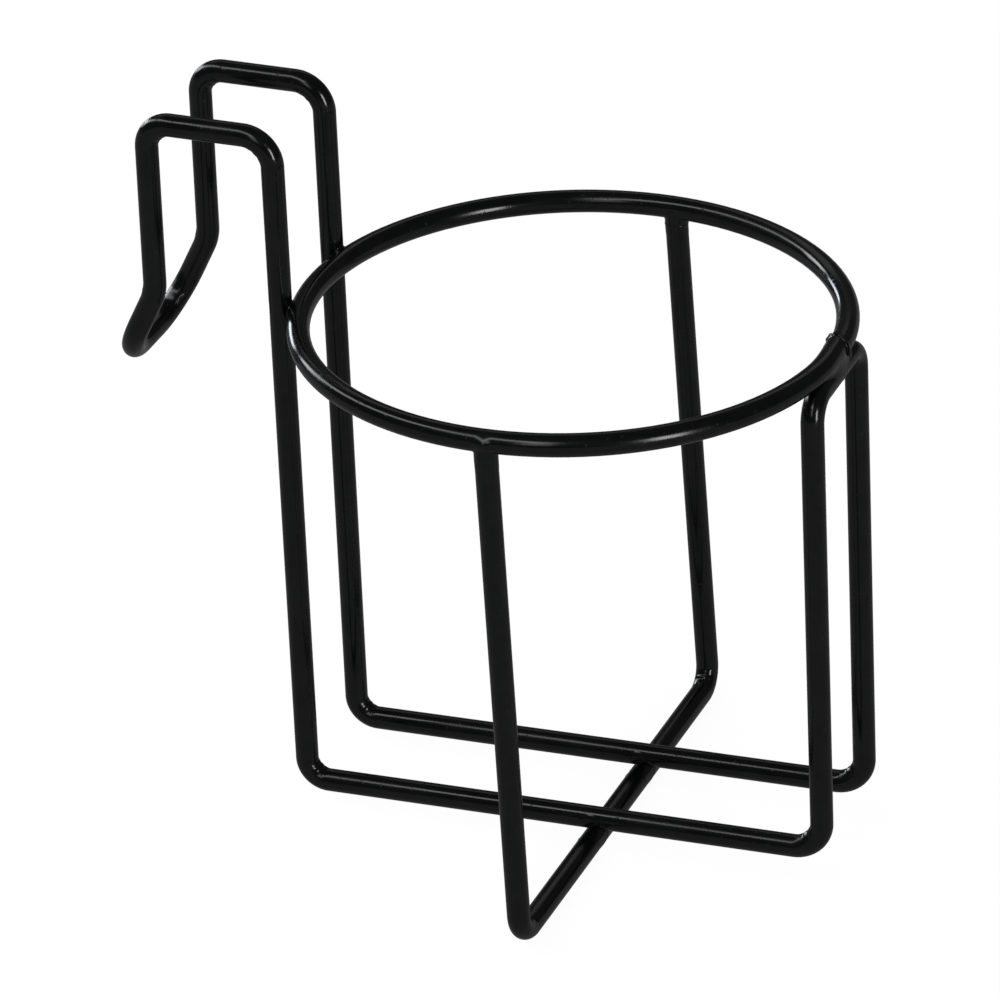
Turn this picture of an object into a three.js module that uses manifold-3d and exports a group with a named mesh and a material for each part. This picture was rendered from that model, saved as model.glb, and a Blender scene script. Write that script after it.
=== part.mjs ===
// Wire cup holder that hooks over the edge of a desk or panel.
// Three bent round wires, joined by small welds and coated gloss black.
//
// Frame: millimetres, +Z up, +X away from the desk edge, +Y to the left.
// The origin is in the middle of the hook, on the plane where the two top bars rest on the edge.

import * as THREE from 'three';
import { mergeVertices } from 'three/addons/utils/BufferGeometryUtils.js';
import Module from 'manifold-3d';

const wasm = await Module();
wasm.setup();

// ---- Driving dimensions ----

const WIRE_DIAMETER = 4;
const CUP_BORE = 89;
const HOOK_GAP = 19;
const HOOK_TO_RING = 30;
const RING_TO_RAIL = 91.5;
const PROFILE_SPACING = 23.2;
const LIP_REACH = 7;
const LIP_DROP = 14.3;

// The rails climb towards the front, and all four legs lean forward on their way down.
const RAIL_RISE = 2.5;
const LEG_LEAN = 1;

// The cradle's posts stand a little in front of the ring's middle and lean forward as well.
// Its cross piece is slightly askew: each foot is this far out of line, the left one forwards.
const CRADLE_TOP_OFFSET = 2;
const CRADLE_LEAN = 3.7;
const CRADLE_SKEW = 0.6;

const OUTER_HOOK_BEND_RADIUS = 4.5;
const BACK_HOOK_BEND_RADIUS = 5.3;
const LIP_BEND_RADIUS = 8.5;
const LIP_CORNER_RADIUS = 8.5;
const RAIL_BACK_BEND_RADIUS = 4;
const RAIL_FRONT_BEND_RADIUS = 5.3;
const FRONT_BAR_BEND_RADIUS = 4.3;
const CRADLE_BEND_RADIUS = 4.4;

// Pieces that are welded together stand this far apart, so that each stays a solid of its own.
const JOINT_GAP = 0.3;

// The ring is sunk this far into the wires that carry it, and is notched to keep the gap there.
const LEG_SINK = 0.5;
const FRONT_BAR_SINK = 0.8;

const RING_BUTT_ANGLE = THREE.MathUtils.degToRad(4.5);
const BUTT_WELD_LENGTH = 1;
const BUTT_WELD_RISE = 0.25;
const BAR_WELD_LENGTH = 10;
const WELD_RADIUS = 2.5;
const LEG_WELD_RADIUS = 2.9;

const WIRE_SIDES = 12;
const RING_STEP = THREE.MathUtils.degToRad(5);
const BEND_STEP = THREE.MathUtils.degToRad(12);

// ---- Places worked out from them ----

const WIRE_RADIUS = WIRE_DIAMETER / 2;
const CONTACT = WIRE_DIAMETER + JOINT_GAP;
const RING_RADIUS = (CUP_BORE + WIRE_DIAMETER) / 2;
const SIDE_Y = PROFILE_SPACING / 2;

const HOOK_Z = WIRE_RADIUS;
const RING_Z = -HOOK_TO_RING;
const FRONT_BAR_Z = RING_Z - WIRE_DIAMETER + FRONT_BAR_SINK;
const RAIL_BACK_Z = RING_Z - RING_TO_RAIL;
const RAIL_FRONT_Z = RAIL_BACK_Z + RAIL_RISE;

const OUTER_LEG_X = -HOOK_GAP / 2 - WIRE_RADIUS;
const BACK_LEG_TOP_X = HOOK_GAP / 2 + WIRE_RADIUS;
const BACK_LEG_FOOT_X = BACK_LEG_TOP_X + LEG_LEAN;
const BACK_LEG_RING_X = BACK_LEG_TOP_X + LEG_LEAN * (HOOK_Z - RING_Z) / (HOOK_Z - RAIL_BACK_Z);
const LEG_TO_RING = WIRE_DIAMETER - LEG_SINK;
const RING_X = BACK_LEG_RING_X + Math.sqrt((RING_RADIUS + LEG_TO_RING) ** 2 - SIDE_Y ** 2);
const FRONT_BAR_X = RING_X + RING_RADIUS;
const FRONT_LEG_FOOT_X = FRONT_BAR_X + LEG_LEAN;

const POST_TOP_X = RING_X + CRADLE_TOP_OFFSET;
const POST_FOOT_X = POST_TOP_X + CRADLE_LEAN;
const POST_Y = Math.sqrt(RING_RADIUS ** 2 - CRADLE_TOP_OFFSET ** 2);
const RAIL_SLOPE = RAIL_RISE / (FRONT_LEG_FOOT_X - BACK_LEG_FOOT_X);
const CROSSING_Z = RAIL_BACK_Z + RAIL_SLOPE * (POST_FOOT_X - BACK_LEG_FOOT_X);
const CRADLE_Z = CROSSING_Z - CONTACT;

// ---- Bent wire ----

// A path through stations, each with a point and a direction. The straights have stations only
// at their ends, and the bends have one every BEND_STEP.
class WirePath extends THREE.Curve {

	constructor(stations) {
		super();
		this.stations = stations;
	}

	get steps() {
		return this.stations.length - 1;
	}

	station(t) {
		return this.stations[Math.round(t * this.steps)];
	}

	getPointAt(t, target = new THREE.Vector3()) {
		return target.copy(this.station(t).point);
	}

	getTangentAt(t, target = new THREE.Vector3()) {
		return target.copy(this.station(t).direction);
	}

	// The cross-section starts square to the first bend and is carried along without a twist.
	computeFrenetFrames() {
		const tangents = this.stations.map((station) => station.direction);
		const normals = [tangents[0].clone().cross(tangents[2]).normalize()];
		for (let i = 1; i < tangents.length; i++) {
			const turn = new THREE.Quaternion().setFromUnitVectors(tangents[i - 1], tangents[i]);
			normals.push(normals[i - 1].clone().applyQuaternion(turn));
		}
		const binormals = tangents.map((tangent, i) => tangent.clone().cross(normals[i]));
		return { tangents, normals, binormals };
	}

}

// The wire's centre line: straights between corners, with an arc of the given radius at each.
function bentPath(corners) {
	const points = corners.map(([x, y, z]) => new THREE.Vector3(x, y, z));
	const heading = (a, b) => points[b].clone().sub(points[a]).normalize();
	const stations = [{ point: points[0], direction: heading(0, 1) }];
	for (let i = 1; i < points.length - 1; i++) {
		const before = heading(i - 1, i);
		const after = heading(i, i + 1);
		const turn = before.angleTo(after);
		const radius = corners[i][3];
		const start = points[i].clone().addScaledVector(before, -radius * Math.tan(turn / 2));
		const inward = after.clone().addScaledVector(before, -before.dot(after)).normalize();
		const steps = Math.ceil(turn / BEND_STEP);
		for (let k = 0; k <= steps; k++) {
			const angle = turn * k / steps;
			const point = start.clone()
				.addScaledVector(before, radius * Math.sin(angle))
				.addScaledVector(inward, radius * (1 - Math.cos(angle)));
			const direction = before.clone()
				.multiplyScalar(Math.cos(angle))
				.addScaledVector(inward, Math.sin(angle));
			stations.push({ point, direction });
		}
	}
	const last = points.length - 1;
	stations.push({ point: points[last], direction: heading(last - 1, last) });
	return new WirePath(stations);
}

// A level arc of the ring from one angle to another.
function ringPath(fromAngle, toAngle) {
	const stations = [];
	const steps = Math.round((toAngle - fromAngle) / RING_STEP);
	for (let k = 0; k <= steps; k++) {
		const angle = fromAngle + (toAngle - fromAngle) * k / steps;
		const out = new THREE.Vector3(Math.cos(angle), Math.sin(angle), 0);
		stations.push({
			point: new THREE.Vector3(RING_X, 0, RING_Z).addScaledVector(out, RING_RADIUS),
			direction: new THREE.Vector3(-out.y, out.x, 0),
		});
	}
	return new WirePath(stations);
}

// The wire's cross-section has a flat on each of its four sides and two between them.
function wireSection(radius) {
	const cornerRadius = radius / Math.cos(Math.PI / WIRE_SIDES);
	const corners = [];
	for (let k = 0; k < WIRE_SIDES; k++) {
		const angle = (k + 0.5) * 2 * Math.PI / WIRE_SIDES;
		corners.push(new THREE.Vector2(cornerRadius * Math.cos(angle), cornerRadius * Math.sin(angle)));
	}
	return new THREE.Shape(corners);
}

function wire(path, radius = WIRE_RADIUS) {
	return new THREE.ExtrudeGeometry(wireSection(radius), { extrudePath: path, steps: path.steps });
}

// ---- Joining and cutting ----

function toSolid(geometry) {
	geometry.deleteAttribute('normal');
	geometry.deleteAttribute('uv');
	const merged = mergeVertices(geometry, 1e-4);
	return new wasm.Manifold(new wasm.Mesh({
		numProp: 3,
		vertProperties: merged.attributes.position.array,
		triVerts: Uint32Array.from(merged.index.array),
	}));
}

function toGeometry(solid) {
	const mesh = solid.getMesh();
	const geometry = new THREE.BufferGeometry();
	geometry.setAttribute('position', new THREE.BufferAttribute(mesh.vertProperties, 3));
	geometry.setIndex(new THREE.BufferAttribute(mesh.triVerts, 1));
	geometry.computeVertexNormals();
	return geometry;
}

// ---- The three wires' routes ----

const BUTT_HALF_GAP = BUTT_WELD_LENGTH / 2 + JOINT_GAP;

// One side of the frame, from the middle of the front bar round to the middle of the lip.
function frameSide(side) {
	const y = side * SIDE_Y;
	return [
		[FRONT_BAR_X, y, FRONT_BAR_Z, FRONT_BAR_BEND_RADIUS],
		[FRONT_LEG_FOOT_X, y, RAIL_FRONT_Z, RAIL_FRONT_BEND_RADIUS],
		[BACK_LEG_FOOT_X, y, RAIL_BACK_Z, RAIL_BACK_BEND_RADIUS],
		[BACK_LEG_TOP_X, y, HOOK_Z, BACK_HOOK_BEND_RADIUS],
		[OUTER_LEG_X, y, HOOK_Z, OUTER_HOOK_BEND_RADIUS],
		[OUTER_LEG_X, y, RING_Z, LIP_BEND_RADIUS],
		[OUTER_LEG_X - LIP_REACH, y, RING_Z - LIP_DROP, LIP_CORNER_RADIUS],
	];
}

// The frame's loop, which starts and ends beside the middle of the front bar.
function framePath() {
	return bentPath([
		[FRONT_BAR_X, BUTT_HALF_GAP, FRONT_BAR_Z],
		...frameSide(1),
		...frameSide(-1).reverse(),
		[FRONT_BAR_X, -BUTT_HALF_GAP, FRONT_BAR_Z],
	]);
}

// One half of the loop, which runs a little past the middle at both ends.
function halfFramePath(side) {
	return bentPath([
		[FRONT_BAR_X, -side * BUTT_HALF_GAP, FRONT_BAR_Z],
		...frameSide(side),
		[OUTER_LEG_X - LIP_REACH, -side * BUTT_HALF_GAP, RING_Z - LIP_DROP],
	]);
}

// The cradle: down one post, across under both rails, up the other post.
function cradlePath(topZ) {
	return bentPath([
		[POST_TOP_X, POST_Y, topZ],
		[POST_FOOT_X + CRADLE_SKEW, POST_Y, CRADLE_Z, CRADLE_BEND_RADIUS],
		[POST_FOOT_X - CRADLE_SKEW, -POST_Y, CRADLE_Z, CRADLE_BEND_RADIUS],
		[POST_TOP_X, -POST_Y, topZ],
	]);
}

// ---- Welds ----

// The room that wires take up together with the gap round them.
function roomFor(...paths) {
	const solids = paths.map((path) => toSolid(wire(path, WIRE_RADIUS + JOINT_GAP)));
	return solids.reduce((sum, solid) => sum.add(solid));
}

// The frame's room is cut out of the ring, and all the wires' room out of each weld bead. The frame
// and the ring are in halves that overlap, because a wire that ends where it starts leaves a slit.
const overlap = 2 * RING_STEP;
const frameRoom = roomFor(halfFramePath(1), halfFramePath(-1));
const ringRoom = roomFor(ringPath(-overlap, Math.PI + overlap), ringPath(Math.PI - overlap, 2 * Math.PI + overlap));
const allRoom = frameRoom.add(ringRoom).add(roomFor(cradlePath(RING_Z)));

// A bead of metal round the place where two wires meet.
function weldBead(x, y, z, radii) {
	const blob = new THREE.SphereGeometry(1, WIRE_SIDES, WIRE_SIDES / 2);
	blob.rotateX(Math.PI / 2);
	blob.scale(...radii);
	blob.translate(x, y, z);
	return toGeometry(toSolid(blob).subtract(allRoom));
}

// A short barrel between two wire ends, proud of the wire by the given rise.
function buttWeld(rise) {
	const half = BUTT_WELD_LENGTH / 2;
	const profile = [
		new THREE.Vector2(0, -half),
		new THREE.Vector2(WIRE_RADIUS, -half),
		new THREE.Vector2(WIRE_RADIUS + rise, 0),
		new THREE.Vector2(WIRE_RADIUS, half),
		new THREE.Vector2(0, half),
	];
	return new THREE.LatheGeometry(profile, WIRE_SIDES);
}

function frameButtWeld() {
	const geometry = buttWeld(0);
	geometry.translate(FRONT_BAR_X, 0, FRONT_BAR_Z);
	return geometry;
}

// The ring and its own weld are notched where they are sunk into the frame.
function notched(geometry) {
	return toGeometry(toSolid(geometry).subtract(frameRoom));
}

function ringButtWeld() {
	const geometry = buttWeld(BUTT_WELD_RISE);
	geometry.translate(RING_RADIUS, 0, 0);
	geometry.rotateZ(RING_BUTT_ANGLE);
	geometry.translate(RING_X, 0, RING_Z);
	return notched(geometry);
}

function cupRing() {
	const openAngle = BUTT_HALF_GAP / RING_RADIUS;
	const path = ringPath(RING_BUTT_ANGLE + openAngle, RING_BUTT_ANGLE + 2 * Math.PI - openAngle);
	return notched(wire(path));
}

// The ring lies against the inner side of each back leg, half way between the two centre lines.
function legWeld(side) {
	const toLeg = new THREE.Vector2(BACK_LEG_RING_X - RING_X, side * SIDE_Y).normalize();
	const reach = RING_RADIUS + LEG_TO_RING / 2;
	return weldBead(RING_X + toLeg.x * reach, toLeg.y * reach, RING_Z, Array(3).fill(LEG_WELD_RADIUS));
}

// The ring lies along the front bar. The bead is in the groove between them on the cup's side.
function frontBarWeld() {
	const grooveDepth = WIRE_RADIUS * 0.75;
	const radii = [grooveDepth, BAR_WELD_LENGTH / 2, grooveDepth];
	return weldBead(FRONT_BAR_X - WIRE_RADIUS, 0, (RING_Z + FRONT_BAR_Z) / 2, radii);
}

// A post's top stands against the underside of the ring.
function postWeld(side) {
	const radii = [WELD_RADIUS + 0.3, WELD_RADIUS + 0.3, WELD_RADIUS - 0.2];
	return weldBead(POST_TOP_X, side * POST_Y, RING_Z - WIRE_RADIUS, radii);
}

// The cradle's cross piece passes under the rail.
function railWeld(side) {
	const x = POST_FOOT_X + side * CRADLE_SKEW * SIDE_Y / POST_Y;
	return weldBead(x, side * SIDE_Y, CROSSING_Z - CONTACT / 2, Array(3).fill(WELD_RADIUS));
}

// ---- The object ----

const COATING = { color: 0x131513, roughness: 0.28, metalness: 0 };

function addPiece(group, name, geometry) {
	const mesh = new THREE.Mesh(geometry, new THREE.MeshStandardMaterial(COATING));
	mesh.name = name;
	group.add(mesh);
}

const cupHolder = new THREE.Group();
addPiece(cupHolder, 'frame_wire', wire(framePath()));
addPiece(cupHolder, 'frame_butt_weld', frameButtWeld());
addPiece(cupHolder, 'cup_ring', cupRing());
addPiece(cupHolder, 'ring_butt_weld', ringButtWeld());
addPiece(cupHolder, 'cradle_wire', wire(cradlePath(RING_Z - WIRE_RADIUS - JOINT_GAP)));
addPiece(cupHolder, 'ring_to_front_bar_weld', frontBarWeld());
for (const [label, side] of [['left', 1], ['right', -1]]) {
	addPiece(cupHolder, `ring_to_${label}_leg_weld`, legWeld(side));
	addPiece(cupHolder, `${label}_post_weld`, postWeld(side));
	addPiece(cupHolder, `${label}_rail_weld`, railWeld(side));
}

export default cupHolder;
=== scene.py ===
# %% [markdown]
# # A hook-over cup holder made of bent wire
# The real thing is three lengths of round steel wire. One is bent into the frame that hooks
# over the edge of a desk, one is rolled into the ring round the cup, and one is the cradle
# that hangs from the ring and passes under the frame. Small welds join them, and a gloss
# black coating covers everything.
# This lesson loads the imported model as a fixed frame, then makes each wire the way a wire
# bender does: feed it forward, bend it, feed it forward again.

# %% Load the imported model
import math

import bmesh
import bpy
import numpy as np
from mathutils import Matrix, Vector, noise


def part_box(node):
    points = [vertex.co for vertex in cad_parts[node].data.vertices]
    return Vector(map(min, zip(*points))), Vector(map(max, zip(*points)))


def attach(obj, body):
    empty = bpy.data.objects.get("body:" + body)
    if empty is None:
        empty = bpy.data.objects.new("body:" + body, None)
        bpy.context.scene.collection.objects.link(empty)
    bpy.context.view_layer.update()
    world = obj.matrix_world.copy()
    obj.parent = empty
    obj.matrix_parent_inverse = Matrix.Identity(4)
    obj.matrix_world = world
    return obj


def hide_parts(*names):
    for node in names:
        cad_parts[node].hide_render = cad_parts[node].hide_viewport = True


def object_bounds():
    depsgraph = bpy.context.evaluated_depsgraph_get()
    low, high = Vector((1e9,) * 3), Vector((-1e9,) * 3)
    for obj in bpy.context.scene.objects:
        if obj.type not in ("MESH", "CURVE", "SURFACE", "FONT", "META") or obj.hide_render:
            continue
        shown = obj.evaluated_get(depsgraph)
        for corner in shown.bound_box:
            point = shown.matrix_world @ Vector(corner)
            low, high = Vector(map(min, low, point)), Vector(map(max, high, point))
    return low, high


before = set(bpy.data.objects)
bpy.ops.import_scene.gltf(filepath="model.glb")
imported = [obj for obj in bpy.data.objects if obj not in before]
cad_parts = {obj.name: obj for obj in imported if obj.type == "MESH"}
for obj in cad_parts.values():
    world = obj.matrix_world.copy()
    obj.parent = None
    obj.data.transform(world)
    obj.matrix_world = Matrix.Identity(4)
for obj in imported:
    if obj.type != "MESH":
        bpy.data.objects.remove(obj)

MM = 0.001
cad_low, cad_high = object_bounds()
print("nodes:", sorted(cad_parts))
print("size in mm:", [round(side / MM, 2) for side in cad_high - cad_low])

# %% [markdown]
# ## Sizes
# The frame of the model says where every wire lies. A box goes from the outside of the wire
# on one side to the outside on the other, so half the ring's height is the wire's radius,
# and one radius in from each face of a box is a centre line. Only what a box can't say,
# such as how tightly a corner is bent, is written here as a size of its own.

# %% Measure the centre lines
_, frame_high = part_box("frame_wire")
ring_low, ring_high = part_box("cup_ring")

wire_radius = (ring_high.z - ring_low.z) / 2
side_y = frame_high.y - wire_radius
hook_z = frame_high.z - wire_radius
ring_z = ring_high.z - wire_radius
print("wire diameter in mm:", round(2 * wire_radius / MM, 3))

# %% Sizes that a box can't say
CUP_BORE = 89 * MM
HOOK_GAP = 19 * MM
RING_TO_RAIL = 91.5 * MM
LIP_REACH = 7 * MM
LIP_DROP = 14.3 * MM
JOINT_GAP = 0.3 * MM
LEG_SINK = 0.5 * MM
FRONT_BAR_SINK = 0.8 * MM

OUTER_HOOK_BEND_RADIUS = 4.5 * MM
BACK_HOOK_BEND_RADIUS = 5.3 * MM
LIP_BEND_RADIUS = 8.5 * MM
LIP_CORNER_RADIUS = 8.5 * MM
RAIL_BACK_BEND_RADIUS = 4 * MM
RAIL_FRONT_BEND_RADIUS = 5.3 * MM
FRONT_BAR_BEND_RADIUS = 4.3 * MM
CRADLE_BEND_RADIUS = 4.4 * MM

# %% [markdown]
# Bent wire is never quite square. Here the rails climb a little towards the front, every leg
# leans forward on its way down, and the cradle's cross piece is slightly askew.

# %% Lean the legs and place every centre line
RAIL_RISE = 2.5 * MM
LEG_LEAN = 1 * MM
CRADLE_TOP_OFFSET = 2 * MM
CRADLE_LEAN = 3.7 * MM
CRADLE_SKEW = 0.6 * MM

contact = 2 * wire_radius + JOINT_GAP
leg_to_ring = 2 * wire_radius - LEG_SINK
ring_radius = CUP_BORE / 2 + wire_radius
rail_back_z = ring_z - RING_TO_RAIL
front_bar_z = ring_z - 2 * wire_radius + FRONT_BAR_SINK

leg_top_x = HOOK_GAP / 2 + wire_radius
leg_foot_x = leg_top_x + LEG_LEAN
leg_ring_x = leg_top_x + LEG_LEAN * (hook_z - ring_z) / (hook_z - rail_back_z)
ring_x = leg_ring_x + math.sqrt((ring_radius + leg_to_ring)**2 - side_y**2)
front_x = ring_x + ring_radius
front_foot_x = front_x + LEG_LEAN

post_top_x = ring_x + CRADLE_TOP_OFFSET
post_foot_x = post_top_x + CRADLE_LEAN
post_y = math.sqrt(ring_radius**2 - CRADLE_TOP_OFFSET**2)
rail_slope = RAIL_RISE / (front_foot_x - leg_foot_x)
crossing_z = rail_back_z + rail_slope * (post_foot_x - leg_foot_x)
cross_z = crossing_z - contact
print("ring centre in mm:", round(ring_x / MM, 3), "ring radius in mm:", round(ring_radius / MM, 3))

# %% [markdown]
# ## Camera
# The camera comes first, because it decides what the rest has to look good from. It stands
# in front of the holder's right-hand side and looks down at it through a long lens, so that
# upright wires stay almost parallel. It leans a little, as a hand-held view does.

# %% Set up the camera
VIEW_AZIMUTH = math.radians(21.84)
VIEW_ELEVATION = math.radians(27.77)
VIEW_LEAN = math.radians(-2.01)
VIEW_DISTANCE = 1193.9 * MM
AIM_RIGHT = 1.43 * MM
AIM_UP = -5.25 * MM
LENS = 250


def direction(azimuth, elevation):
    """The way to something seen at that azimuth, from -Y towards +X, and height above level."""
    level = math.cos(elevation)
    return Vector((math.sin(azimuth) * level, -math.cos(azimuth) * level, math.sin(elevation)))


def add_camera():
    back = direction(VIEW_AZIMUTH, VIEW_ELEVATION)
    right = Vector((math.cos(VIEW_AZIMUTH), math.sin(VIEW_AZIMUTH), 0))
    up = back.cross(right)
    lean = Matrix.Rotation(VIEW_LEAN, 3, back)
    right, up = lean @ right, lean @ up
    centre = (cad_low + cad_high) / 2
    place = centre + right * AIM_RIGHT + up * AIM_UP + back * VIEW_DISTANCE
    camera = bpy.data.objects.new("camera", bpy.data.cameras.new("camera"))
    camera.data.lens = LENS
    camera.matrix_world = Matrix.Translation(place) @ Matrix((right, up, back)).transposed().to_4x4()
    bpy.context.scene.collection.objects.link(camera)
    bpy.context.scene.camera = camera
    return camera


camera = add_camera()
print("camera in mm:", [round(value / MM) for value in camera.matrix_world.translation])

# %% [markdown]
# ## Shader sums
# A procedural material is a sum of patterns, and sums read best as Python. `Signal` wraps
# one node's output. When two signals are added or multiplied, it puts in the Math node that
# does so. `Shader` makes any other node from its type, its settings and its inputs.

# %% A signal and a shader
class Signal:
    """One output of a node. Each operator adds the Math node that works it out."""

    def __init__(self, shader, socket):
        self.shader = shader
        self.socket = socket

    def _math(self, operation, first, second):
        return self.shader.node("ShaderNodeMath", {"operation": operation}, {0: first, 1: second})

    def __add__(self, other):
        return self._math("ADD", self, other)

    def __mul__(self, other):
        return self._math("MULTIPLY", self, other)

    __radd__ = __add__
    __rmul__ = __mul__


class Shader:
    """An empty material and a short way to add nodes to it."""

    def __init__(self, name):
        self.material = bpy.data.materials.new(name)
        self.material.use_nodes = True
        self.tree = self.material.node_tree
        self.tree.nodes.clear()

    def node(self, kind, settings=None, inputs=None, output=0):
        made = self.tree.nodes.new(kind)
        for name, value in (settings or {}).items():
            setattr(made, name, value)
        for name, value in (inputs or {}).items():
            if isinstance(value, Signal):
                self.tree.links.new(value.socket, made.inputs[name])
            else:
                made.inputs[name].default_value = value
        return Signal(self, made.outputs[output]) if made.outputs else None

    def noise(self, place, wavelength, detail=1.0):
        """A soft random pattern from 0 to 1, whose spots are about a wavelength across."""
        return self.node(
            "ShaderNodeTexNoise",
            {"noise_dimensions": "3D"},
            {"Vector": place, "Scale": 1 / wavelength, "Detail": detail},
        )

    def spread(self, value, low, high):
        """The value stretched so that low becomes 0 and high becomes 1, smoothly and no further."""
        return self.node(
            "ShaderNodeMapRange",
            {"interpolation_type": "SMOOTHSTEP"},
            {"Value": value, "From Min": low, "From Max": high},
        )


# %% [markdown]
# ## Coating
# The wire is coated, not painted: the powder melts and flows into a thick gloss skin. It
# mirrors lights sharply, but it is never quite flat. Slow swells of a few millimetres make
# a highlight wander, and a finer orange peel makes its edges tremble. Specks of dust settle
# in it before it sets, and a few dull patches show where hands have been.
# A black gloss shows almost nothing but its reflections, so the colour stays very dark and
# nearly all the work goes into roughness and bump. Soft lighter grey patches are painted
# into the colour too, a painted sheen in place of dim broad reflections.

# %% Make the coating material
# The grey is partly the colour of real dust specks and partly a painted sheen of dim reflections.
COATING_BLACK = (0.0028, 0.0037, 0.0032, 1)
DUST_AND_PAINTED_SHEEN_GREY = (0.0072, 0.0086, 0.0077, 1)
PAINTED_SHEEN_SHARE = 0.7
DUST_SHARE = 0.3

GLOSS_ROUGHNESS = 0.13
DULL_ROUGHNESS = 0.1
DUST_ROUGHNESS = 0.22

SWELL_SIZE = 6 * MM
PEEL_SIZE = 1.5 * MM
GRAIN_SIZE = 0.25 * MM
HANDLED_PATCH_SIZE = 17 * MM
DUST_SIZE = 0.7 * MM
PAINTED_SHEEN_SIZE = 4 * MM
GRAIN_HEIGHT = 0.0006 * MM
DUST_HEIGHT = 0.006 * MM

# How high its pattern is where each mark begins, and where it is complete.
HANDLED_PATCH_LEVELS = (0.4, 0.7)
DUST_LEVELS = (0.74, 0.8)
PAINTED_SHEEN_LEVELS = (0.3, 0.7)


def coating(name, swell_height, peel_height):
    """Gloss black coating, with the heights of its slow swells and its orange peel."""
    shader = Shader(name)
    place = shader.node("ShaderNodeTexCoord", output="Object")
    swell = shader.noise(place, SWELL_SIZE)
    peel = shader.noise(place, PEEL_SIZE)
    grain = shader.noise(place, GRAIN_SIZE, detail=2)
    handling = shader.spread(shader.noise(place, HANDLED_PATCH_SIZE, detail=3), *HANDLED_PATCH_LEVELS)
    dust = shader.spread(shader.noise(place, DUST_SIZE, detail=0), *DUST_LEVELS)
    # shade scatters lighter grey patches at random: a painted sheen standing in for dim broad
    # reflections.
    shade = shader.spread(shader.noise(place, PAINTED_SHEEN_SIZE, detail=4), *PAINTED_SHEEN_LEVELS)
    colour = shader.node(
        "ShaderNodeMix",
        {"data_type": "RGBA"},
        {"Factor": shade * PAINTED_SHEEN_SHARE + dust * DUST_SHARE, "A": COATING_BLACK, "B": DUST_AND_PAINTED_SHEEN_GREY},
        output="Result",
    )
    roughness = GLOSS_ROUGHNESS + handling * DULL_ROUGHNESS + dust * DUST_ROUGHNESS
    waves = swell * swell_height + peel * peel_height
    height = waves + grain * GRAIN_HEIGHT + dust * DUST_HEIGHT
    normal = shader.node("ShaderNodeBump", None, {"Strength": 1, "Distance": 1, "Height": height})
    surface = shader.node(
        "ShaderNodeBsdfPrincipled",
        None,
        {"Base Color": colour, "Roughness": roughness, "Normal": normal, "IOR": 1.5},
    )
    shader.node("ShaderNodeOutputMaterial", None, {"Surface": surface})
    return shader.material


wire_coating = coating("gloss_black_on_wire", 0.03 * MM, 0.0022 * MM)
weld_coating = coating("gloss_black_on_welds", 0.05 * MM, 0.006 * MM)
print("coatings:", wire_coating.name, weld_coating.name)

# %% [markdown]
# ## Pieces
# Every finished mesh becomes a piece in the same way. It is closed, its faces point
# outwards, it rides on the one body of the holder, and it stands for the node of the model
# that it gives a finer surface to.

# %% Turn a mesh into a piece
SHARP_EDGE = math.radians(50)


def add_piece(name, mesh, node, material):
    bmesh.ops.recalc_face_normals(mesh, faces=mesh.faces)
    loose_edges = sum(not edge.is_manifold for edge in mesh.edges)
    data = bpy.data.meshes.new(name)
    mesh.to_mesh(data)
    mesh.free()
    data.shade_smooth()
    data.set_sharp_from_angle(angle=SHARP_EDGE)
    data.materials.append(material)
    piece = bpy.data.objects.new(name, data)
    bpy.context.scene.collection.objects.link(piece)
    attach(piece, "root")
    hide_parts(node)
    print(name, "has", len(data.polygons), "faces and", loose_edges, "open edges")


# %% [markdown]
# ## The wire bender
# A bender holds the wire, feeds it forward, and swings it round a die. `BentWire` does the
# same with a disc of edges. Extruding the rim feeds the wire forward, and spinning the rim
# about the die's axis bends it. Nothing else is needed for any of the three wires.
# The die leaves its mark. On the inside of a tight bend the metal is squeezed into faint
# wrinkles, and the coating gathers there, so the inside of each bend stands a hair proud.

# %% Feed and bend
WIRE_SIDES = 48
FEED_STEP = 1 * MM
BEND_STEP = math.radians(3)
GATHER = 0.1 * MM
WRINKLE = 0.05 * MM
WRINKLES_IN_BEND = 4


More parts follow.
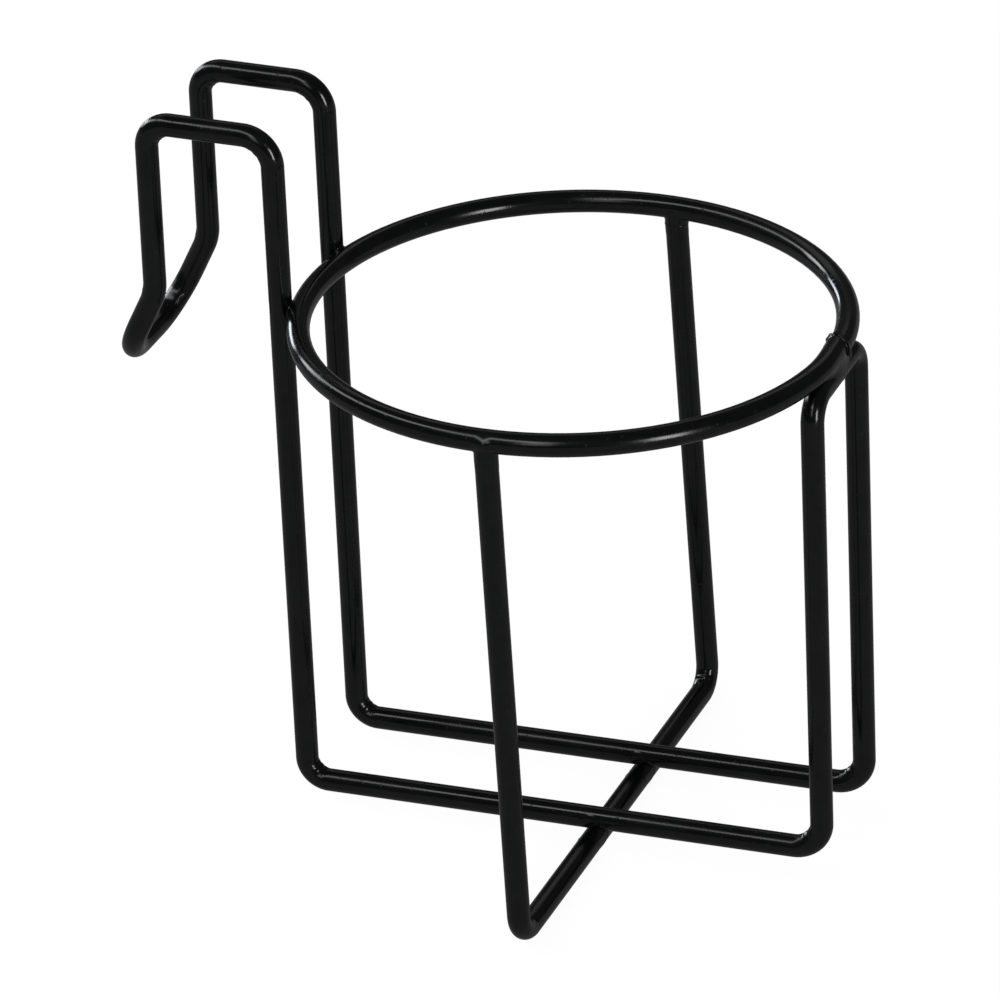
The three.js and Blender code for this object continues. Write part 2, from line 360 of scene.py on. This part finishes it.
class BentWire:
    """A round wire that grows from a disc as its rim is fed forward and bent."""

    def __init__(self, start, heading):
        self.mesh = bmesh.new()
        self.tip = Vector(start)
        self.heading = Vector(heading).normalized()
        disc = bmesh.ops.create_circle(self.mesh, cap_ends=True, segments=WIRE_SIDES, radius=wire_radius)
        turn = Vector((0, 0, 1)).rotation_difference(self.heading).to_matrix()
        bmesh.ops.rotate(self.mesh, verts=disc["verts"], cent=(0, 0, 0), matrix=turn)
        bmesh.ops.translate(self.mesh, verts=disc["verts"], vec=self.tip)
        self.rim = self.mesh.edges[:]

    def feed(self, length):
        steps = max(1, round(length / FEED_STEP))
        for _ in range(steps):
            grown = bmesh.ops.extrude_edge_only(self.mesh, edges=self.rim)["geom"]
            points = [part for part in grown if isinstance(part, bmesh.types.BMVert)]
            bmesh.ops.translate(self.mesh, verts=points, vec=self.heading * (length / steps))
            self.rim = [part for part in grown if isinstance(part, bmesh.types.BMEdge)]
        self.tip = self.tip + self.heading * length

    def swing(self, centre, axis, angle):
        """Bend the wire round an axis through the centre, and return the points that it adds."""
        before = len(self.mesh.verts)
        steps = math.ceil(angle / BEND_STEP)
        turned = bmesh.ops.spin(
            self.mesh, geom=self.rim, cent=centre, axis=axis, angle=angle, steps=steps, use_merge=False
        )["geom_last"]
        self.rim = [part for part in turned if isinstance(part, bmesh.types.BMEdge)]
        turn = Matrix.Rotation(angle, 3, axis)
        self.tip = centre + turn @ (self.tip - centre)
        self.heading = turn @ self.heading
        return self.mesh.verts[before:]

    def bend(self, heading, radius):
        """Bend the wire towards a new heading, and mark the inside as the die does."""
        axis = self.heading.cross(heading).normalized()
        angle = self.heading.angle(heading)
        first = self.heading.cross(axis)
        centre = self.tip - first * radius
        for point in self.swing(centre, axis, angle):
            arm = point.co - centre
            arm -= axis * arm.dot(axis)
            middle = centre + arm.normalized() * radius
            inside = max(0, (radius - arm.length) / wire_radius)
            share = first.angle(arm) / angle
            wave = math.cos(2 * math.pi * WRINKLES_IN_BEND * share)
            rise = (GATHER + WRINKLE * wave) * inside**2 * math.sin(math.pi * share)**2
            point.co += (point.co - middle).normalized() * rise

    def close(self):
        bmesh.ops.edgeloop_fill(self.mesh, edges=self.rim)
        return self.mesh


def bend_through(corners):
    """A wire through corners, each a place and the radius of the bend there."""
    places = [Vector(place) for place, _ in corners]
    wire = BentWire(places[0], places[1] - places[0])
    for (_, radius), corner, after in zip(corners[1:], places[1:], places[2:]):
        heading = (after - corner).normalized()
        setback = radius * math.tan(wire.heading.angle(heading) / 2)
        wire.feed((corner - wire.tip).length - setback)
        wire.bend(heading, radius)
    wire.feed((places[-1] - wire.tip).length)
    return wire


# %% [markdown]
# ## Frame wire
# The frame is one wire bent into a closed loop: front bar, front leg, rail, back leg, hook,
# lip, and back along the other side. Its two ends meet in the middle of the front bar. The
# two sides mirror each other, so one list of corners, walked forwards on the left and
# backwards on the right, gives the whole loop.
# Where the ring is welded on, an electrode has pressed a shallow dimple into the far side
# of each back leg.

# %% Bend the frame
FRAME_END = 0.5 * MM
DIMPLE_DEPTH = 0.16 * MM
DIMPLE_SIZE = 1.6 * MM


def frame_side(side):
    """The corners of one side, from the front bar round to the lip."""
    y = side * side_y
    return [
        ((front_x, y, front_bar_z), FRONT_BAR_BEND_RADIUS),
        ((front_foot_x, y, rail_back_z + RAIL_RISE), RAIL_FRONT_BEND_RADIUS),
        ((leg_foot_x, y, rail_back_z), RAIL_BACK_BEND_RADIUS),
        ((leg_top_x, y, hook_z), BACK_HOOK_BEND_RADIUS),
        ((-leg_top_x, y, hook_z), OUTER_HOOK_BEND_RADIUS),
        ((-leg_top_x, y, ring_z), LIP_BEND_RADIUS),
        ((-leg_top_x - LIP_REACH, y, ring_z - LIP_DROP), LIP_CORNER_RADIUS),
    ]


def press_dimple(mesh, place, inwards):
    """Press the surface near a place inwards, most in the middle and not at all at the rim."""
    for point in mesh.verts:
        away = (point.co - place).length / DIMPLE_SIZE
        if away < 1:
            point.co += inwards * DIMPLE_DEPTH * (1 - away**2)**2


def bend_frame():
    end = ((front_x, FRAME_END, front_bar_z), 0)
    other_end = ((front_x, -FRAME_END, front_bar_z), 0)
    mesh = bend_through([end, *frame_side(1), *reversed(frame_side(-1)), other_end]).close()
    for side in (1, -1):
        leg = Vector((leg_ring_x, side * side_y, ring_z))
        outwards = (leg - Vector((ring_x, 0, ring_z))).normalized()
        press_dimple(mesh, leg + outwards * wire_radius, -outwards)
    add_piece("bent_frame", mesh, "frame_wire", wire_coating)


bend_frame()

# %% [markdown]
# ## Centre lines
# Where wires meet, the shape of a joint depends on how far its surface is from each wire. So
# each wire is also written as a function that gives the nearest places on its centre line.

# %% Find the nearest places on a wire
TINY = 1e-9


def straight_line(start, end):
    """The straight wire through two places."""
    through = np.array(start)
    along = np.array((Vector(end) - Vector(start)).normalized())
    return lambda points: through + np.outer((points - through) @ along, along)


def leg_line(side):
    y = side * side_y
    return straight_line((leg_top_x, y, hook_z), (leg_foot_x, y, rail_back_z))


def front_bar_line(points):
    """The front bar with the bends at its ends, and the legs below them."""
    bend_y = side_y - FRONT_BAR_BEND_RADIUS
    bend_z = front_bar_z - FRONT_BAR_BEND_RADIUS
    inner_y = np.clip(points[:, 1], -bend_y, bend_y)
    inner_z = np.minimum(points[:, 2], bend_z)
    over, above = points[:, 1] - inner_y, points[:, 2] - inner_z
    share = FRONT_BAR_BEND_RADIUS / np.maximum(np.hypot(over, above), TINY)
    return np.stack([np.full(len(points), front_x), inner_y + over * share, inner_z + above * share], 1)


def distance_to(line):
    """How far points are from a wire's surface."""
    return lambda points: np.linalg.norm(points - line(points), axis=1) - wire_radius


# %% [markdown]
# ## Cup ring
# The ring is rolled, so it is a single swing of almost a full turn round the cup's axis.
# The rolled ends never meet exactly. The right-hand end lies a little nearer to the cup,
# and runs back into the true circle over the next few millimetres.
# The ring is pressed into the two back legs and the front bar while they are hot, so it takes
# their shape there. The notches are hidden inside the joints.

# %% Roll the ring
BUTT_ANGLE = math.radians(4.5)
RING_END = 0.3 * MM
END_STEP = 0.45 * MM
END_STEP_LENGTH = 11 * MM


def end_fade(arc):
    """1 at the ring's end, falling smoothly to 0 where the ring is true again."""
    share = np.clip(arc / END_STEP_LENGTH, 0, 1)
    return 1 - share * share * (3 - 2 * share)


def notch(mesh, line):
    """Push the surface away wherever it is closer to another wire than the gap allows."""
    places = np.array([point.co for point in mesh.verts])
    nearest = line(places)
    arms = places - nearest
    lengths = np.linalg.norm(arms, axis=1)
    room = wire_radius + JOINT_GAP
    for point, start, arm, length in zip(mesh.verts, nearest, arms, lengths):
        if length < room:
            point.co = start + arm * room / length


def roll_ring():
    centre = Vector((ring_x, 0, ring_z))
    gap_angle = RING_END / ring_radius
    start = BUTT_ANGLE + gap_angle
    outwards = Vector((math.cos(start), math.sin(start), 0))
    wire = BentWire(centre + outwards * ring_radius, (-outwards.y, outwards.x, 0))
    wire.swing(centre, Vector((0, 0, 1)), 2 * (math.pi - gap_angle))
    for point in wire.mesh.verts:
        arm = point.co - centre
        arm.z = 0
        turn = (BUTT_ANGLE - math.atan2(arm.y, arm.x)) % (2 * math.pi)
        point.co -= arm.normalized() * END_STEP * end_fade(turn * ring_radius)
    for line in (front_bar_line, leg_line(1), leg_line(-1)):
        notch(wire.mesh, line)
    add_piece("rolled_cup_ring", wire.close(), "cup_ring", wire_coating)


roll_ring()

# %% [markdown]
# ## Cradle wire
# The cradle is a U of wire. Its two posts lean slightly, stand against the underside of the
# ring, and are joined by a cross piece that passes under both rails.

# %% Bend the cradle
def bend_cradle():
    top_z = ring_z - wire_radius
    corners = [
        ((post_top_x, post_y, top_z), 0),
        ((post_foot_x + CRADLE_SKEW, post_y, cross_z), CRADLE_BEND_RADIUS),
        ((post_foot_x - CRADLE_SKEW, -post_y, cross_z), CRADLE_BEND_RADIUS),
        ((post_top_x, -post_y, top_z), 0),
    ]
    mesh = bend_through(corners).close()
    add_piece("bent_cradle", mesh, "cradle_wire", wire_coating)


bend_cradle()

# %% [markdown]
# ## Welds
# The wires are pressed together and fused, and the coating flows into what is left of the
# corner between them, so a joint is one smooth surface that hugs both wires. A stuck-on
# blob would look wrong. The distances to two wires are joined so that they melt into each
# other where both are small. A fine ball is put on the joint, and each of its points moves
# out along its own ray until it meets that melted surface. Away from the joint it lies just
# under the wires' own skin.

# %% Melt distances together
def ring_wire(points):
    """The distance from points to the ring, with the step at its end."""
    turn = (BUTT_ANGLE - np.arctan2(points[:, 1], points[:, 0] - ring_x)) % (2 * math.pi)
    line_radius = ring_radius - END_STEP * end_fade(turn * ring_radius)
    reach = np.hypot(points[:, 0] - ring_x, points[:, 1]) - line_radius
    return np.hypot(reach, points[:, 2] - ring_z) - wire_radius


def melt(first, second, width):
    """Two distances joined, with a fillet of the given width between them."""
    width = np.maximum(width, TINY)
    both = np.maximum(width - np.abs(first - second), 0) / width
    return np.minimum(first, second) - width * both**2 / 4


# %% Grow a bead onto a distance
BALL_DIVISIONS = 6
MARCH_STEPS = 60
HALVINGS = 18
SINK = 0.02 * MM
LUMP_SIZE = 1.1 * MM
SMOOTH_LUMPS = 0.03 * MM


def grow_bead(name, node, place, surface, reach, stretch=0, lumps=SMOOTH_LUMPS):
    """A bead round a place. It reaches that far, and further along Y by the stretch."""
    mesh = bmesh.new()
    bmesh.ops.create_icosphere(mesh, subdivisions=BALL_DIVISIONS, radius=1)
    rays = np.array([point.co for point in mesh.verts])
    starts = np.array(place) + np.outer(rays[:, 1] * stretch, (0, 1, 0))

    def height(lengths):
        return surface(starts + rays * lengths[:, None]) + SINK

    inner = np.zeros(len(rays))
    open_rays = np.ones(len(rays), bool)
    for step in range(1, MARCH_STEPS + 1):
        further = np.full(len(rays), reach * step / MARCH_STEPS)
        open_rays &= height(further) < 0
        inner = np.where(open_rays, further, inner)
    outer = np.minimum(inner + reach / MARCH_STEPS, reach)
    for _ in range(HALVINGS):
        middle = (inner + outer) / 2
        is_inside = height(middle) < 0
        inner = np.where(is_inside, middle, inner)
        outer = np.where(is_inside, outer, middle)
    for point, start, ray, length in zip(mesh.verts, starts, rays, inner):
        found = start + ray * length
        lump = noise.noise(Vector(found) / LUMP_SIZE) - 0.5
        fade = 1 - (length / reach)**2
        point.co = found + ray * lump * lumps * fade
    add_piece(name, mesh, node, weld_coating)


# %% [markdown]
# ### Ring to back legs
# The ring only crosses each back leg at one point, so its weld is small: two wires at right
# angles with a neat fillet all round.

# %% Weld the ring to the back legs
LEG_FILLET = 1 * MM
LEG_WELD_REACH = 4.5 * MM


def fade_out(points, place, reach):
    """1 at a place, falling smoothly to 0 at the given reach."""
    share = np.clip(np.linalg.norm(points - np.array(place), axis=1) / reach, 0, 1)
    return (1 - share**2)**2


def weld_leg(side, label):
    leg = distance_to(leg_line(side))
    arm = Vector((leg_ring_x - ring_x, side * side_y, 0)).normalized()
    place = Vector((ring_x, 0, ring_z)) + arm * (ring_radius + leg_to_ring / 2)

    def surface(points):
        fillet = LEG_FILLET * fade_out(points, place, LEG_WELD_REACH)
        return melt(ring_wire(points), leg(points), fillet)

    grow_bead(f"{label}_leg_weld_bead", f"ring_to_{label}_leg_weld", place, surface, LEG_WELD_REACH)


weld_leg(1, "left")
weld_leg(-1, "right")

# %% [markdown]
# ### Ring to front bar
# The ring is sunk into the front bar and drifts off it at both ends, because it is curved and
# the bar is straight. The weld fills the groove between them and thins out as they part.

# %% Weld the ring to the front bar
BAR_FILLET = 2.2 * MM
BAR_WELD_HALF_LENGTH = 8 * MM
BAR_WELD_REACH = 4 * MM
BAR_WELD_STRETCH = 4 * MM


def weld_front_bar():
    place = Vector((front_x, 0, (ring_z + front_bar_z) / 2))
    bar = distance_to(front_bar_line)

    def surface(points):
        share = np.clip(np.abs(points[:, 1]) / BAR_WELD_HALF_LENGTH, 0, 1)
        return melt(ring_wire(points), bar(points), BAR_FILLET * (1 - share**2)**2)

    grow_bead(
        "front_bar_weld_bead",
        "ring_to_front_bar_weld",
        place,
        surface,
        BAR_WELD_REACH,
        stretch=BAR_WELD_STRETCH,
    )


weld_front_bar()

# %% [markdown]
# ### Posts to ring
# Each post stands end-on against the underside of the ring. Pressing it there spreads its
# top into a slight collar, and leaves only a narrow fillet in the corner under the ring.
# On the right the squeezed-out metal makes a low hump on the ring's outer side, and on the
# left it ends in a fine step round the post.

# %% Weld the posts to the ring
POST_FILLET = 0.4 * MM
COLLAR_RISE = 0.08 * MM
COLLAR_LENGTH = 4 * MM
HUMP_RISE = 0.45 * MM
HUMP_WIDTH = 1.1 * MM
STEP_RISE = 0.07 * MM
STEP_DEPTH = 0.9 * MM
STEP_WIDTH = 0.2 * MM
POST_WELD_REACH = 6 * MM


def weld_post(side, label, hump_rise, step_rise):
    foot = Vector((post_foot_x + side * CRADLE_SKEW, side * post_y, cross_z))
    place = Vector((post_top_x, side * post_y, ring_z - wire_radius))
    outer_side = np.array((place.x, side * (post_y + wire_radius), ring_z))
    post = distance_to(straight_line(place, foot))

    def surface(points):
        drop = np.clip((place.z - points[:, 2]) / COLLAR_LENGTH, 0, 1)
        collared = post(points) - COLLAR_RISE * (1 - drop**4)**2
        step = np.exp(-((place.z - points[:, 2] - STEP_DEPTH) / STEP_WIDTH)**2)
        capped = np.maximum(collared - step_rise * step, points[:, 2] - ring_z)
        away = np.linalg.norm(points - outer_side, axis=1)
        ring = ring_wire(points) - hump_rise * np.exp(-(away / HUMP_WIDTH)**2)
        return melt(ring, capped, POST_FILLET * fade_out(points, place, POST_WELD_REACH))

    grow_bead(f"{label}_post_weld_bead", f"{label}_post_weld", place, surface, POST_WELD_REACH)


weld_post(1, "left", hump_rise=0, step_rise=STEP_RISE)
weld_post(-1, "right", hump_rise=HUMP_RISE, step_rise=0)

# %% [markdown]
# ### Rails to cross piece
# The cross piece passes under both rails. Each crossing is a spot weld like the ones on the
# back legs, with a thin lip of squeezed-out metal round it.

# %% Weld the rails to the cross piece
RAIL_FILLET = 0.7 * MM
WELD_LIP_RISE = 0.12 * MM
WELD_LIP_WIDTH = 0.3 * MM
WELD_LIP_DISTANCE = 3.4 * MM
RAIL_WELD_REACH = 4.5 * MM


def weld_rail(side, label):
    y = side * side_y
    back, front = (leg_foot_x, y, rail_back_z), (front_foot_x, y, rail_back_z + RAIL_RISE)
    rail = distance_to(straight_line(back, front))
    left = (post_foot_x + CRADLE_SKEW, post_y, cross_z)
    right = (post_foot_x - CRADLE_SKEW, -post_y, cross_z)
    cross = distance_to(straight_line(left, right))
    place = Vector((post_foot_x + CRADLE_SKEW * y / post_y, y, crossing_z - contact / 2))

    def surface(points):
        away = np.linalg.norm(points - np.array(place), axis=1)
        lip = WELD_LIP_RISE * np.exp(-((away - WELD_LIP_DISTANCE) / WELD_LIP_WIDTH)**2)
        fillet = RAIL_FILLET * fade_out(points, place, RAIL_WELD_REACH)
        return melt(rail(points), cross(points), fillet) - lip

    grow_bead(f"{label}_rail_weld_bead", f"{label}_rail_weld", place, surface, RAIL_WELD_REACH)


weld_rail(1, "left")
weld_rail(-1, "right")

# %% [markdown]
# ### The ring's butt weld
# The ring's two ends are fused end to end. The cut ends were not square, so the joint runs
# across the wire at a slant. Only a trace of a ridge is left along it, and a rough lump stays
# on the side that the grinder didn't reach, towards the cup.

# %% Close the ring
RIDGE_RISE = 0.05 * MM
RIDGE_WIDTH = 0.35 * MM
SLANT = 0.45
FLASH_RADIUS = 0.55 * MM
FLASH_FILLET = 0.4 * MM
FLASH_TURNS = (112, 138, 165)
ROUGH_LUMPS = 0.1 * MM
BUTT_WELD_REACH = 3.2 * MM


def close_ring():
    arm = Vector((math.cos(BUTT_ANGLE), math.sin(BUTT_ANGLE), 0))
    up = Vector((0, 0, 1))
    centre = Vector((ring_x, 0, ring_z))
    place = centre + arm * (ring_radius - END_STEP / 2)
    along = Vector((-arm.y, arm.x, 0))
    turns = [math.radians(turn) for turn in FLASH_TURNS]
    rims = [arm * math.cos(turn) + up * math.sin(turn) for turn in turns]
    lumps = [place + rim * wire_radius - along * rim.dot(arm) * SLANT * wire_radius for rim in rims]

    def surface(points):
        out = np.hypot(points[:, 0] - ring_x, points[:, 1]) - ring_radius
        past = (points - np.array(place)) @ np.array(along) + SLANT * out
        height = points[:, 2] - ring_z
        left_end = np.maximum(np.hypot(out, height) - wire_radius, -past - RIDGE_WIDTH)
        right_end = np.maximum(np.hypot(out + END_STEP, height) - wire_radius, past - RIDGE_WIDTH)
        ends = melt(left_end, right_end, RIDGE_WIDTH)
        ends = ends - RIDGE_RISE * np.exp(-(past / RIDGE_WIDTH)**2)
        for lump in lumps:
            flash = np.linalg.norm(points - np.array(lump), axis=1) - FLASH_RADIUS
            ends = melt(ends, flash, FLASH_FILLET)
        return np.minimum(ends, ring_wire(points))

    grow_bead(
        "ring_butt_weld_bead", "ring_butt_weld", place, surface, BUTT_WELD_REACH, lumps=ROUGH_LUMPS
    )


close_ring()

# %% [markdown]
# ### The frame's butt weld
# The frame's ends meet under the ring, in the middle of the front bar. This joint is ground
# flush, so it is only a short length of wire with a faint waist.

# %% Close the frame
FRAME_RIDGE = 0.04 * MM
RIDGE_CUTS = 3


def close_frame():
    wire = BentWire((front_x, FRAME_END, front_bar_z), (0, -1, 0))
    start_rim = set(wire.rim)
    wire.feed(2 * FRAME_END)
    rims = start_rim | set(wire.rim)
    lengthwise = [edge for edge in wire.mesh.edges if edge not in rims]
    bmesh.ops.subdivide_edges(wire.mesh, edges=lengthwise, cuts=RIDGE_CUTS)
    for point in wire.mesh.verts:
        arm = point.co - Vector((front_x, point.co.y, front_bar_z))
        bulge = math.cos(point.co.y / FRAME_END * math.pi / 2)
        point.co += arm.normalized() * FRAME_RIDGE * bulge
    mesh = wire.close()
    add_piece("frame_butt_weld_bead", mesh, "frame_butt_weld", weld_coating)


close_frame()

# %% [markdown]
# ## Floor
# The holder stands on a plain pale floor. It is as bright as paper to the eye, but dimmer
# in the wire's reflections, as a floor is under lights that point at the object.

# %% Lay the floor
FLOOR_RADIUS = 6
FLOOR_SIDES = 96
PAPER = (0.97, 0.97, 0.97, 1)
MATT_GREY = (0.12, 0.12, 0.12, 1)
GLOW_TO_THE_EYE = 0.99
GLOW_IN_MIRRORS = 0.14


def paper(name):
    """A pale sheet that glows faintly: one brightness for the eye, another in reflections."""
    shader = Shader(name)
    looked_at = shader.node("ShaderNodeLightPath", output="Is Camera Ray")
    dim = shader.node("ShaderNodeEmission", None, {"Color": PAPER, "Strength": GLOW_IN_MIRRORS})
    bright = shader.node("ShaderNodeEmission", None, {"Color": PAPER, "Strength": GLOW_TO_THE_EYE})
    glow = shader.node("ShaderNodeMixShader", None, {0: looked_at, 1: dim, 2: bright})
    matt = shader.node("ShaderNodeBsdfDiffuse", None, {"Color": MATT_GREY})
    both = shader.node("ShaderNodeAddShader", None, {0: glow, 1: matt})
    shader.node("ShaderNodeOutputMaterial", None, {"Surface": both})
    return shader.material


def lay_floor():
    mesh = bmesh.new()
    bmesh.ops.create_circle(mesh, cap_ends=True, segments=FLOOR_SIDES, radius=FLOOR_RADIUS)
    bmesh.ops.translate(mesh, verts=mesh.verts, vec=(0, 0, cad_low.z))
    data = bpy.data.meshes.new("floor")
    mesh.to_mesh(data)
    mesh.free()
    data.materials.append(paper("pale_paper"))
    floor = bpy.data.objects.new("floor", data)
    bpy.context.scene.collection.objects.link(floor)
    print("floor at mm:", round(cad_low.z / MM, 2))


lay_floor()

# %% [markdown]
# ## Light
# A gloss black wire is drawn by what it mirrors. A long strip light that arches over from the
# back left to the front gives the fine grey line along every level bar. A soft box at the
# right gives the bright spot on each bend, and two low, slightly blue ones at the back left
# give the white streaks on the ring. The rest stays dim, so that the wire stays black.

# %% Hang the lights
LIGHT_DISTANCE = 3
DAYLIGHT = (0.84, 0.92, 1)


def add_light(name, azimuth, elevation, width, height, brightness, colour=(1, 1, 1)):
    """A soft box seen from the holder at that place, that many degrees wide and high."""
    way = direction(math.radians(azimuth), math.radians(elevation))
    light = bpy.data.lights.new(name, "AREA")
    light.shape = "RECTANGLE"
    light.size = 2 * LIGHT_DISTANCE * math.tan(math.radians(width) / 2)
    light.size_y = 2 * LIGHT_DISTANCE * math.tan(math.radians(height) / 2)
    light.energy = brightness * math.pi * light.size * light.size_y
    light.color = colour
    lamp = bpy.data.objects.new(name, light)
    lamp.location = way * LIGHT_DISTANCE
    lamp.rotation_mode = "QUATERNION"
    lamp.rotation_quaternion = way.to_track_quat("Z", "Y")
    lamp.visible_camera = False
    bpy.context.scene.collection.objects.link(lamp)
    return lamp


def add_strip(name, azimuth, elevation, start, end, count, thickness, brightness):
    """A strip light in short boxes along a great circle whose top is at the given place."""
    top = direction(math.radians(azimuth), math.radians(elevation))
    along = Vector((math.cos(math.radians(azimuth)), math.sin(math.radians(azimuth)), 0))
    step = (end - start) / count
    for number in range(count):
        angle = math.radians(start + step * (number + 0.5))
        way = top * math.cos(angle) + along * math.sin(angle)
        lamp = add_light(f"{name}_{number}", 0, 0, step, thickness, brightness)
        lamp.location = way * LIGHT_DISTANCE
        onward = along * math.cos(angle) - top * math.sin(angle)
        turn = Matrix((onward, way.cross(onward), way)).transposed()
        lamp.rotation_quaternion = turn.to_quaternion()


add_light("key_box", 57, 12, 12, 24, 10)
add_light("front_band", 6, 32, 11, 24, 1.6)
add_light("side_window", -106, 16, 12, 14, 4, DAYLIGHT)
add_light("low_back_box", -126, 4, 15, 12, 7, DAYLIGHT)
add_light("back_wall", -155, 37, 50, 16, 0.3)
add_strip("strip", -34, 54, -75, 30, 7, 11, 3)

# %% [markdown]
# The room itself is dim in the wire's reflections, but the eye sees a pale backdrop that
# carries on from the floor.

# %% Dim the room
ROOM_IN_MIRRORS = 0.05
ROOM_TO_THE_EYE = 0.97

world = bpy.data.worlds.new("dim_room")
bpy.context.scene.world = world
world.use_nodes = True
nodes = world.node_tree.nodes
seen = nodes.new("ShaderNodeLightPath")
shade = nodes.new("ShaderNodeMapRange")
shade.inputs["To Min"].default_value = ROOM_IN_MIRRORS
shade.inputs["To Max"].default_value = ROOM_TO_THE_EYE
world.node_tree.links.new(seen.outputs["Is Camera Ray"], shade.inputs["Value"])
world.node_tree.links.new(shade.outputs["Result"], nodes["Background"].inputs["Strength"])
nodes["Background"].inputs["Color"].default_value = PAPER
bpy.context.scene.view_settings.view_transform = "Standard"
